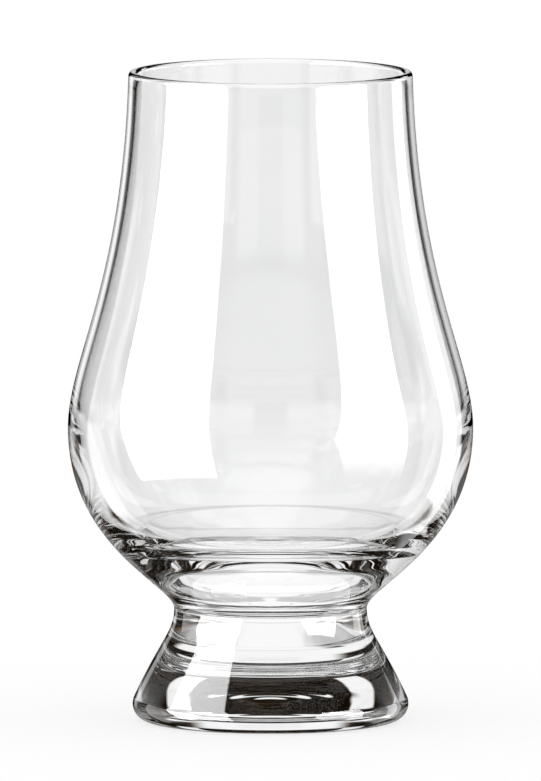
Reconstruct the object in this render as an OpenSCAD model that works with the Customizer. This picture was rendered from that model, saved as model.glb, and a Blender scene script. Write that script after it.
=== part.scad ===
// Nosing glass: a tulip-shaped bowl blown in clear glass, fused at its neck to a short, solid, flared foot.
// Both pieces are turned about the Z axis. The foot stands on the plane z = 0. Lengths are in millimetres.

/* [Glass] */
// Height of the glass, from the table to the top of the lip
glass_h = 110; // [104:0.5:118]

/* [Mouth] */
// Outer diameter of the mouth, just under the rounded lip
mouth_d = 48; // [44:0.2:54]
// Thickness of the rounded lip
lip_t = 1.6; // [1.3:0.1:2.4]

/* [Bowl] */
// Outer diameter of the belly, the widest ring of the bowl
belly_d = 68.4; // [62:0.2:74]
// Height of the belly above the table
belly_z = 49.6; // [45:0.1:55]
// Thickness of the blown wall, from under the lip to above the belly
wall_t = 1.4; // [1:0.1:2]
// Thickness of the wall at the belly, where the glass starts to gather
belly_t = 1.9; // [1.6:0.1:3]
// Diameter of the ring where the inside wall turns down into the dished floor
corner_d = 43; // [38:0.2:46]
// Height of that ring above the table
corner_z = 31; // [29.5:0.1:33]
// Slope of the inside wall where it meets the ring, in degrees from level
wall_slope = 20; // [15:1:40]
// Slope of the floor where it leaves the ring, in degrees from level
floor_slope = 33; // [25:1:45]
// Height of the middle of the inside floor above the table
floor_z = 25.5; // [24:0.1:28]

/* [Neck] */
// Diameter of the neck, the narrowest ring, where the bowl is fused to the foot
neck_d = 32.5; // [28:0.1:38]
// Height of the neck above the table
neck_z = 19; // [16:0.1:22]

/* [Foot] */
// Outer diameter of the foot, across its rounded edge
foot_d = 46.6; // [42:0.2:54]
// Radius of the rounded edge, between the flank and the ring that the glass stands on
foot_edge_r = 3.1; // [1.5:0.1:4]
// Angle by which the flank leans inwards where it leaves the rounded edge, in degrees
flank_lean = 25; // [15:0.5:30]
// Inner diameter of the ring that the glass stands on, which is the width of the hollow under the foot
punt_d = 30; // [22:0.5:36]
// Depth of the hollow under the foot, at its middle
punt_depth = 0.4; // [0.2:0.1:2]

/* [Smoothness] */
// Number of straight steps in each curve of the outline
curve_steps = 24; // [12:1:40]
// Number of straight steps in each quarter turn of a small rounding
round_steps = 6; // [3:1:12]

/* [Hidden] */

mouth_r = mouth_d / 2;
belly_r = belly_d / 2;
corner_r = corner_d / 2;
neck_r = neck_d / 2;
foot_r = foot_d / 2;
punt_r = punt_d / 2;
lip_r = lip_t / 2;
lip_z = glass_h - lip_r;

// Each curve is a cubic one. These shares of a curve's height are how far its two ends run on straight.
flank_shares = [0.72, 0.28];
flare_shares = [0.126, 0.66];
chimney_shares = [0.193, 0.5915];
// How far the chimney leans outwards below the lip, as a share of the step from the mouth to the belly
mouth_lean_share = 0.1;
// The parts of the chimney's length in which the wall swells, towards the belly and towards the lip
belly_swell_share = 0.22;
lip_swell_share = 0.06;
// How far the inside wall runs on straight, down from the belly and up from the corner ring
inside_drop_share = 0.45;
corner_share = 0.33;
// How far the floor runs on straight, down from the corner ring and out from the middle
dish_share = 0.6;
inside_floor_share = 0.6;

glass_color = [0.86, 0.92, 0.94, 0.45];

function cubic_at(p, t) =
    pow(1 - t, 3) * p[0] + 3 * pow(1 - t, 2) * t * p[1] + 3 * (1 - t) * t * t * p[2] + pow(t, 3) * p[3];

// Points along a cubic curve, without its first point, so that curves can follow each other
function cubic(p) = [for (i = [1 : curve_steps]) cubic_at(p, i / curve_steps)];

// Points on an arc from one angle to another, ends included
function arc(centre, r, from_angle, to_angle) =
    let (steps = ceil(abs(to_angle - from_angle) / 90 * round_steps))
    [for (i = [0 : steps])
        let (angle = from_angle + (to_angle - from_angle) * i / steps)
        centre + r * [cos(angle), sin(angle)]];

neck_point = [neck_r, neck_z];
belly_point = [belly_r, belly_z];
mouth_point = [mouth_r, lip_z];

// Outside of the bowl between the neck and the belly
flare_h = belly_z - neck_z;
flare = [
    neck_point,
    neck_point + [0, flare_h * flare_shares[0]],
    belly_point - [0, flare_h * flare_shares[1]],
    belly_point
];

// Outside of the bowl between the belly and the lip
chimney_h = lip_z - belly_z;
chimney = [
    belly_point,
    belly_point + [0, chimney_h * chimney_shares[0]],
    mouth_point + [(belly_r - mouth_r) * mouth_lean_share, -chimney_h * chimney_shares[1]],
    mouth_point
];

// Thickness of the chimney's wall, measured level, where t runs from 0 at the belly to 1 at the lip
function chimney_t(t) =
    wall_t
    + (belly_t - wall_t) * pow(max(0, 1 - t / belly_swell_share), 2)
    + (lip_t - wall_t) * pow(max(0, 1 - (1 - t) / lip_swell_share), 2);

function chimney_inside_at(t) = cubic_at(chimney, t) - [chimney_t(t), 0];

// Inside wall between the belly and the corner ring, starting in line with the chimney's inside
inside_point = [belly_r - belly_t, belly_z];
inside_slope = [2 * (belly_t - wall_t) / belly_swell_share, 3 * chimney_h * chimney_shares[0]];
corner_point = [corner_r, corner_z];
inside_h = belly_z - corner_z;
inside_wall = [
    inside_point,
    inside_point - inside_slope / norm(inside_slope) * inside_h * inside_drop_share,
    corner_point + inside_h * corner_share * [cos(wall_slope), sin(wall_slope)],
    corner_point
];

// Inside floor, dished between the corner ring and the middle
dish_h = corner_z - floor_z;
inside_floor = [
    corner_point,
    corner_point - dish_h * dish_share * [1 / tan(floor_slope), 1],
    [corner_r * inside_floor_share, floor_z],
    [0, floor_z]
];

bowl_outline = concat(
    [[0, neck_z], neck_point],
    cubic(flare),
    cubic(chimney),
    arc([mouth_r - lip_r, lip_z], lip_r, 0, 180),
    [for (i = [curve_steps - 1 : -1 : 0]) chimney_inside_at(i / curve_steps)],
    cubic(inside_wall),
    cubic(inside_floor)
);

// Foot, from the middle of the hollow under it, out over the edge and up the flank
punt_sphere_r = (pow(punt_r, 2) + pow(punt_depth, 2)) / (2 * punt_depth);
punt = [for (i = [0 : curve_steps])
    let (r = punt_r * i / curve_steps)
    [r, punt_depth - punt_sphere_r + sqrt(pow(punt_sphere_r, 2) - pow(r, 2))]];

edge_centre = [foot_r - foot_edge_r, foot_edge_r];
edge = arc(edge_centre, foot_edge_r, -90, flank_lean);
flank_start = edge[len(edge) - 1];
flank_h = neck_z - flank_start[1];
flank = [
    flank_start,
    flank_start + flank_h * flank_shares[0] * [-sin(flank_lean), cos(flank_lean)],
    neck_point - [0, flank_h * flank_shares[1]],
    neck_point
];

foot_outline = concat(punt, edge, cubic(flank), [[0, neck_z]]);

// The blown bowl: lip, chimney, belly and thick floor, down to the level face that is fused to the foot
module bowl() {
    color(glass_color) rotate_extrude($fn = 120) polygon(bowl_outline);
}

// The pressed foot: solid, flared from the neck, hollow underneath within the ring that it stands on
module foot() {
    color(glass_color) rotate_extrude($fn = 120) polygon(foot_outline);
}

bowl();
foot();
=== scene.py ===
"""Nosing glass: the looks of a tulip-shaped bowl of clear glass on a short, solid, flared foot."""

import math

import bpy
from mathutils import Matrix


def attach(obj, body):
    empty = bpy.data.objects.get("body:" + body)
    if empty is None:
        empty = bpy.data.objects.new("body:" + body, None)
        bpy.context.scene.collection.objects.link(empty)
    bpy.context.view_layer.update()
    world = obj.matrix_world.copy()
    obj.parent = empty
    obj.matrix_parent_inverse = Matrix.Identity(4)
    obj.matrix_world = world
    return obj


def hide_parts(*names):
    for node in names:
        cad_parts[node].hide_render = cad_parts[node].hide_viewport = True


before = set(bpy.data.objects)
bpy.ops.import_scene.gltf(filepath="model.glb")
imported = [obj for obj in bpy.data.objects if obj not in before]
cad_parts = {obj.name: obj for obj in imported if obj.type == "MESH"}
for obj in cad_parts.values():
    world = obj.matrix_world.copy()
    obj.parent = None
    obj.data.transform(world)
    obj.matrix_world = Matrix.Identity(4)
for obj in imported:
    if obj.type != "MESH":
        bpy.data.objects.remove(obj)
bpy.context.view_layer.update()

MM = 0.001

# The outline of the glass in millimetres, within 0.4 of the part's source
GLASS_H = 110.0
MOUTH_R = 23.97
LIP_T = 1.6
BELLY_R, BELLY_Z = 34.21, 49.6
WALL_T, BELLY_T = 1.45, 1.9
FLOOR_Z = 25.5
NECK_R, NECK_Z = 16.27, 19.0
FOOT_R, EDGE_R, FLANK_LEAN = 23.31, 2.75, math.radians(25)
PUNT_R = 15.0
PUNT_DEPTH = 0.35

FLANK_SHARES = 0.72, 0.27
FLARE_SHARES = 0.126, 0.66
CHIMNEY_SHARES = 0.193, 0.5915
MOUTH_LEAN_SHARE = 0.1
BELLY_SWELL_SHARE, LIP_SWELL_SHARE = 0.22, 0.06
CORNER_R, CORNER_Z = 21.5, 31.0  # the ring where the inside wall turns into the floor
WALL_SLOPE, FLOOR_SLOPE = math.radians(20), math.radians(33)
INSIDE_DROP_SHARE, CORNER_SHARE = 0.45, 0.33
DISH_SHARE, INSIDE_FLOOR_SHARE = 0.6, 0.6
RIPPLE, RIPPLE_STEP = 0.012, 3.2  # faint rings that the plunger leaves on the inside floor
RIPPLE_START, RIPPLE_FADE, RIPPLE_END = 3, 6, 24  # the radii between which they rise, and die out
RINGS, RINGS_STEP = 0.008, 2.6  # and the press under the foot

SIDES = 256  # of each ring of the turned meshes
FLARE_STEPS, CHIMNEY_STEPS, LIP_STEPS, WALL_STEPS, DISH_STEPS = 64, 72, 20, 48, 96
PUNT_STEPS, EDGE_STEPS, FLANK_STEPS = 100, 32, 64
FLOOR_SIZE, FLOOR_SIDES, FLOOR_DROP = 0.32, 96, 0.0001  # radius, sides and depth of the floor, in metres

GLASS_IOR = 1.52
GLASS_TINT = (0.988, 0.99, 0.993, 1)
BLOWN_WAVE, PRESSED_WAVE = 0.00002, 0.00001  # the most that the surface waves in and out, in metres
BLOWN_SCALE, PRESSED_SCALE = 45, 60  # waves to the metre
SMEAR = 0.02  # the roughness where a wipe has left a trace

DARK = 0.004  # the level of the dark flags
FLAG_COLOUR = (1.5, 0.95, 0.5, 1)  # and their warm colour
ROOM_SCALE = 5.0  # how fine the room's lights are
ROOM_WARM, ROOM_LIGHT = 0.008, 0.85  # the levels of its dim patches and of its lights
MIDDLE_DIM, CREASE_DIM = 0.09, 0.2  # how much the backdrop dims in its middle, and where it meets the table
CEILING, FRONT, REAR, LOW = 1.1, 0.9, 0.65, 0.25  # levels of the larger lights
SOFT_BOX, SLIVER, TIP, GLOW, LEFT_EDGE = 13, 5, 4, 1.9, 0.9  # levels of the lights that the outside mirrors
FLOOR_GREY, FLOOR_GLOW = 0.25, 0.76  # the floor's own grey, and the light that brings it to white


class Wire:
    """A socket in a node tree. Arithmetic on it adds Math nodes."""

    def __init__(self, shop, socket):
        self.shop, self.socket = shop, socket

    def _math(self, operation, *values):
        return self.shop.node("Math", {"operation": operation}, *values)

    def __add__(self, other):
        return self._math("ADD", self, other)

    __radd__ = __add__

    def __mul__(self, other):
        return self._math("MULTIPLY", self, other)

    __rmul__ = __mul__

    def __sub__(self, other):
        return self._math("SUBTRACT", self, other)

    def __rsub__(self, other):
        return self._math("SUBTRACT", other, self)

    def __abs__(self):
        return self._math("ABSOLUTE", self)

    def sibling(self, name):
        """Another output of the same node."""
        return Wire(self.shop, self.socket.node.outputs[name])

    def least(self, other):
        return self._math("MINIMUM", self, other)

    def most(self, other):
        return self._math("MAXIMUM", self, other)

    def step(self, start, end):
        """0 before start, 1 after end, and a smooth climb between them. With end below start it falls."""
        settings = {"interpolation_type": "SMOOTHSTEP"}
        climb = self.shop.node("MapRange", settings, self, min(start, end), max(start, end))
        return climb if start < end else 1 - climb

    def between(self, start, full, fall, end):
        """0 up to start, 1 from full to fall, and 0 again from end."""
        return self.step(start, full) * self.step(end, fall)

    def near(self, centre, full, reach):
        """1 within full of the centre, and 0 beyond reach of it."""
        return abs(self - centre).step(reach, full)


def brightest(first, *others):
    """The most of several levels."""
    for other in others:
        first = first.most(other)
    return first


class Shop:
    """Adds nodes to one node tree, which it empties first."""

    def __init__(self, tree):
        self.tree = tree
        tree.nodes.clear()

    def node(self, kind, settings=None, *values, out=0, **named):
        """Adds a node, sets it up, fills its sockets in order or by name, and gives its output."""
        made = self.tree.nodes.new("ShaderNode" + kind)
        for name, value in (settings or {}).items():
            setattr(made, name, value)
        for key, value in [*enumerate(values), *named.items()]:
            if isinstance(value, Wire):
                self.tree.links.new(value.socket, made.inputs[key])
            elif value is not None:
                made.inputs[key].default_value = value
        return Wire(self, made.outputs[out]) if len(made.outputs) else made

    def blend(self, factor, first, second):
        """The first colour at factor 0, the second at 1."""
        unused = (None,) * 5
        return self.node("Mix", {"data_type": "RGBA"}, factor, *unused, first, second, out=2)


def cubic(points, steps):
    """Points along a cubic curve, without its first point."""
    found = []
    for i in range(1, steps + 1):
        t = i / steps
        w = (1 - t) ** 3, 3 * (1 - t) ** 2 * t, 3 * (1 - t) * t * t, t**3
        found.append(tuple(sum(a * p[k] for a, p in zip(w, points)) for k in (0, 1)))
    return found


def arc(r, z, radius, start, end, steps):
    """Points on an arc round r, z, from one angle to another, ends included."""
    angles = [start + (end - start) * i / steps for i in range(steps + 1)]
    return [(r + radius * math.cos(a), z + radius * math.sin(a)) for a in angles]


def turned(name, outline, seam):
    """A closed mesh turned about the Z axis from an outline that starts and ends on the axis.

    The faces of the outline's step number seam get the second material slot.
    """
    ring_points = outline[1:-1]
    first, last = outline[0], outline[-1]
    verts = [(0, 0, first[1] * MM)]
    for r, z in ring_points:
        for k in range(SIDES):
            a = 2 * math.pi * k / SIDES
            verts.append((r * math.cos(a) * MM, r * math.sin(a) * MM, z * MM))
    verts.append((0, 0, last[1] * MM))
    faces, slots = [], []

    def at(ring, k):
        return 1 + ring * SIDES + k % SIDES

    end = len(verts) - 1
    for k in range(SIDES):
        faces.append((0, at(0, k + 1), at(0, k)))
        slots.append(int(seam == 0))
    for ring in range(len(ring_points) - 1):
        for k in range(SIDES):
            faces.append((at(ring, k), at(ring, k + 1), at(ring + 1, k + 1), at(ring + 1, k)))
            slots.append(int(seam == ring + 1))
    top = len(ring_points) - 1
    for k in range(SIDES):
        faces.append((at(top, k), at(top, k + 1), end))
        slots.append(int(seam == top + 1))
    mesh = bpy.data.meshes.new(name)
    mesh.from_pydata(verts, [], faces)
    mesh.polygons.foreach_set("use_smooth", [True] * len(faces))
    mesh.polygons.foreach_set("material_index", slots)
    mesh.update()
    piece = bpy.data.objects.new(name, mesh)
    bpy.context.collection.objects.link(piece)
    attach(piece, "root")
    return piece


def bowl_outline():
    """From the middle of the fused face, up the outside, over the lip, and down to the inside floor."""
    neck, belly, lip_z = (NECK_R, NECK_Z), (BELLY_R, BELLY_Z), GLASS_H - LIP_T / 2
    flare_h, chimney_h = BELLY_Z - NECK_Z, lip_z - BELLY_Z
    flare = [
        neck,
        (NECK_R, NECK_Z + flare_h * FLARE_SHARES[0]),
        (BELLY_R, BELLY_Z - flare_h * FLARE_SHARES[1]),
        belly,
    ]
    chimney = [
        belly,
        (BELLY_R, BELLY_Z + chimney_h * CHIMNEY_SHARES[0]),
        (MOUTH_R + (BELLY_R - MOUTH_R) * MOUTH_LEAN_SHARE, lip_z - chimney_h * CHIMNEY_SHARES[1]),
        (MOUTH_R, lip_z),
    ]
    outside = cubic(chimney, CHIMNEY_STEPS)

    def inside_at(i):
        t = i / CHIMNEY_STEPS
        r, z = ([belly] + outside)[i]
        swell = (BELLY_T - WALL_T) * max(0, 1 - t / BELLY_SWELL_SHARE) ** 2
        lip = (LIP_T - WALL_T) * max(0, 1 - (1 - t) / LIP_SWELL_SHARE) ** 2
        return r - WALL_T - swell - lip, z

    r, z = BELLY_R - BELLY_T, BELLY_Z
    slope = 2 * (BELLY_T - WALL_T) / BELLY_SWELL_SHARE, 3 * chimney_h * CHIMNEY_SHARES[0]
    deep = BELLY_Z - CORNER_Z
    drop = deep * INSIDE_DROP_SHARE / math.hypot(*slope)
    corner = CORNER_R, CORNER_Z
    run = deep * CORNER_SHARE
    wall = [
        (r, z),
        (r - slope[0] * drop, z - slope[1] * drop),
        (CORNER_R + run * math.cos(WALL_SLOPE), CORNER_Z + run * math.sin(WALL_SLOPE)),
        corner,
    ]
    dip = CORNER_Z - FLOOR_Z
    dish = [
        corner,
        (CORNER_R - dip / math.tan(FLOOR_SLOPE) * DISH_SHARE, CORNER_Z - dip * DISH_SHARE),
        (CORNER_R * INSIDE_FLOOR_SHARE, FLOOR_Z),
        (0, FLOOR_Z),
    ]
    floor = []
    for r, z in [*cubic(wall, WALL_STEPS), *cubic(dish, DISH_STEPS)]:
        fade = max(0, min(1, (RIPPLE_END - r) / RIPPLE_FADE)) * max(0, min(1, r / RIPPLE_START))
        floor.append((r, z + RIPPLE * fade * math.sin(2 * math.pi * r / RIPPLE_STEP)))
    return [
        (0, NECK_Z),
        neck,
        *cubic(flare, FLARE_STEPS),
        *outside,
        *arc(MOUTH_R - LIP_T / 2, lip_z, LIP_T / 2, 0, math.pi, LIP_STEPS)[1:],
        *[inside_at(i) for i in range(CHIMNEY_STEPS - 1, -1, -1)],
        *floor,
    ]


def foot_outline():
    """From the middle of the underside, out over the rounded edge, up the flank and in to the axis."""
    neck = (NECK_R, NECK_Z)
    punt = []
    for i in range(PUNT_STEPS + 1):
        r = PUNT_R * i / PUNT_STEPS
        ring = RINGS * math.sin(math.pi * r / PUNT_R) * (1 - math.cos(2 * math.pi * r / RINGS_STEP))
        punt.append((r, PUNT_DEPTH * 0.5 * (1 + math.cos(math.pi * r / PUNT_R)) + ring))
    edge = arc(FOOT_R - EDGE_R, EDGE_R, EDGE_R, -math.pi / 2, FLANK_LEAN, EDGE_STEPS)
    start = edge[-1]
    run = (NECK_Z - start[1]) * FLANK_SHARES[0]
    flank = [
        start,
        (start[0] - run * math.sin(FLANK_LEAN), start[1] + run * math.cos(FLANK_LEAN)),
        (NECK_R, NECK_Z - (NECK_Z - start[1]) * FLANK_SHARES[1]),
        neck,
    ]
    return [*punt, *edge, *cubic(flank, FLANK_STEPS), (0, NECK_Z)]


def clear_glass(name, wave_scale, wave_height):
    """Clear glass, faintly waved where it was worked hot, with the trace of a wipe and the least tint."""
    material = bpy.data.materials.new(name)
    material.use_nodes = True
    shop = Shop(material.node_tree)
    place = shop.node("TexCoord", {}, out="Object")
    waves = shop.node("TexNoise", {}, Vector=place, Scale=wave_scale, Detail=1.0)
    hills = shop.node("Bump", {}, Strength=1.0, Distance=wave_height, Height=waves)
    wipes = shop.node("TexNoise", {}, Vector=place, Scale=wave_scale * 3, Detail=4.0)
    tint = shop.blend(waves.step(0.35, 0.65), (1, 1, 1, 1), GLASS_TINT)
    glass = shop.node(
        "BsdfPrincipled",
        **{
            "Base Color": tint,
            "Roughness": wipes.step(0.5, 0.75) * SMEAR,
            "IOR": GLASS_IOR,
            "Normal": hills,
            "Transmission Weight": 1.0,
        },
    )
    shop.node("OutputMaterial", {}, Surface=glass)
    return material


def fused_face():
    """Where two pieces of glass have melted together there is no surface, so it doesn't show."""
    material = bpy.data.materials.new("fused_face")
    material.use_nodes = True
    shop = Shop(material.node_tree)
    unseen = shop.node("BsdfPrincipled", Alpha=0.0)
    shop.node("OutputMaterial", {}, Surface=unseen)
    return material


def studio_world():
    """Plain white light for all that is matt, and for the glass a studio of flags, tables and soft boxes.

    turn is a way's angle to the right of straight ahead, and rise its angle above the horizon, both in
    degrees. Light that comes through the glass meets one pattern of levels, and light that the outside
    mirrors meets another.
    """
    world = bpy.data.worlds.new("studio")
    bpy.context.scene.world = world
    world.use_nodes = True
    shop = Shop(world.node_tree)
    way = shop.node("TexCoord", {}, out="Generated")
    x = shop.node("SeparateXYZ", {}, way)
    y, z = x.sibling("Y"), x.sibling("Z")
    turn = shop.node("Math", {"operation": "ARCTAN2"}, x, y) * math.degrees(1)
    rise = shop.node("Math", {"operation": "ARCSINE"}, z) * math.degrees(1)
    side = abs(turn)

    # What is seen through the glass: a white backdrop, the table before it, and lights on all sides
    backdrop = side.step(28.5, 19.5) * rise.step(5, 4) * (1 - CREASE_DIM * rise.near(-27, 1, 2.5))
    backdrop = backdrop * (1 - MIDDLE_DIM * side.step(12, 7) * rise.near(-6, 3, 6))
    apron = side.step(44, 37) * rise.between(-30, -26, -12, -9)
    table = rise.step(-30, -40) * (0.6 + 0.4 * side.step(35, 10) + 0.4 * side.step(140, 160))
    strips = side.between(24.5, 26, 36.5, 38.5) * rise.between(4, 7, 31, 34)
    ceiling = rise.step(43, 50) * side.step(75, 60) * CEILING
    rear_ceiling = rise.step(44, 50) * side.step(135, 160)
    front = side.between(136, 142, 168, 172) * rise.between(-6, -2, 14, 20) * FRONT

    # Pale walls between the flags, so that the thin glass is clear from other sides too
    walls = brightest(
        turn.near(-45, 11, 15) * rise.near(-25, 10, 14),
        turn.near(-90, 12, 16) * rise.near(-6, 15, 18),
        side.near(132, 12, 16) * rise.near(-17, 9, 12),
        side.step(150, 156) * rise.near(-24, 8, 11),
        side.step(150, 156) * rise.near(-7, 7, 10) * REAR,
    )
    grain = shop.node("TexNoise", {}, Vector=way, Scale=ROOM_SCALE, Detail=1.0)
    lights = grain.step(0.62, 0.66) * side.between(50, 60, 150, 168)
    room = DARK + grain.step(0.5, 0.65) * ROOM_WARM + lights * ROOM_LIGHT
    through = brightest(backdrop, apron, table, strips, ceiling, rear_ceiling, front, walls, room)

    # What the outside mirrors: two tall soft boxes with slanted sides, and smaller lights round them
    outer = turn - 0.42 * rise.least(15)
    inner = turn - 0.12 * rise - 0.4 * (rise - 25).most(0)
    left = outer.step(-85, -87) * inner.step(-146, -144) * rise.between(-24, -22.5, 58, 62) * SOFT_BOX
    inner = turn + 0.35 * abs(rise)
    right = turn.step(94.5, 96) * inner.step(144, 142) * rise.between(-26, 6, 27, 30) * SOFT_BOX
    sliver = turn.between(46, 48, 63, 65) * rise.between(-28, -25, 12, 15) * SLIVER
    left_edge = turn.between(-33, -28, -23, -17) * rise.step(-12, -6) * LEFT_EDGE
    glow = turn.between(-84, -80, -53, -50) + turn.between(38, 40, 80, 86)
    glow = glow * rise.between(-43, -38, 12, 15) * GLOW
    low = rise.between(-24, -18, -12, -6) * side.step(60, 50) * LOW
    spot = side.step(8, 4) * rise.near(7, 3, 6)
    tip = turn.near(28, 3, 5) * rise.near(16, 4, 7) * TIP
    high = rise.step(56, 60)
    mirrored = brightest(left, right, sliver, left_edge, glow, low, spot, tip, high)

    ray = shop.node("LightPath", {}, out="Is Transmission Ray")
    in_glass = ray.most(ray.sibling("Is Glossy Ray"))
    level = 1 - in_glass + in_glass * (ray * through + (1 - ray) * mirrored)
    colour = shop.blend(level.step(0.02, 0.25), FLAG_COLOUR, (1, 1, 1, 1))
    background = shop.node("Background", {}, Color=colour, Strength=level)
    shop.node("OutputWorld", {}, Surface=background)


def floor():
    """A plain white disc, which shows the glass's soft shadow. Past its edge the world is as white."""
    angles = [2 * math.pi * i / FLOOR_SIDES for i in range(FLOOR_SIDES)]
    ring = [(FLOOR_SIZE * math.cos(a), FLOOR_SIZE * math.sin(a), -FLOOR_DROP) for a in angles]
    mesh = bpy.data.meshes.new("floor")
    mesh.from_pydata(ring, [], [range(FLOOR_SIDES)])
    disc = bpy.data.objects.new("floor", mesh)
    bpy.context.collection.objects.link(disc)
    disc.visible_glossy = False
    disc.visible_transmission = False
    material = bpy.data.materials.new("floor_white")
    material.use_nodes = True
    shop = Shop(material.node_tree)
    matt = shop.node("BsdfDiffuse", {}, Color=(FLOOR_GREY, FLOOR_GREY, FLOOR_GREY, 1))
    ray = shop.node("LightPath", {}, out="Is Camera Ray")
    seen = ray.most(ray.sibling("Is Transmission Ray")).most(ray.sibling("Is Glossy Ray"))
    glow = shop.node("Emission", {}, Color=(1, 1, 1, 1), Strength=seen * FLOOR_GLOW)
    both = shop.node("AddShader", {}, matt, glow)
    shop.node("OutputMaterial", {}, Surface=both)
    mesh.materials.append(material)


def camera():
    """Looks along +Y and a little down, from far off, so that the rim and the foot show as flat rings."""
    distance, height, tilt = 3.9, 0.472, 6.0905
    data = bpy.data.cameras.new("camera")
    data.sensor_width = 36
    data.lens = 1071.2
    data.clip_end = 20
    camera = bpy.data.objects.new("camera", data)
    bpy.context.collection.objects.link(camera)
    camera.location = 0, -distance, height
    camera.rotation_euler = math.radians(90 - tilt), 0, 0
    bpy.context.scene.camera = camera


blown = clear_glass("blown_glass", BLOWN_SCALE, BLOWN_WAVE)
pressed = clear_glass("pressed_glass", PRESSED_SCALE, PRESSED_WAVE)
unseen = fused_face()

bowl = turned("tulip_bowl", bowl_outline(), seam=0)
bowl.data.materials.append(blown)
bowl.data.materials.append(unseen)
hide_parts("bowl")

foot_points = foot_outline()
foot = turned("flared_foot", foot_points, seam=len(foot_points) - 2)
foot.data.materials.append(pressed)
foot.data.materials.append(unseen)
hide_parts("foot")

studio_world()
floor()
camera()

scene = bpy.context.scene
scene.view_settings.view_transform = "Standard"
scene.cycles.max_bounces = 32
scene.cycles.transmission_bounces = 32
scene.cycles.glossy_bounces = 32
scene.cycles.transparent_max_bounces = 48
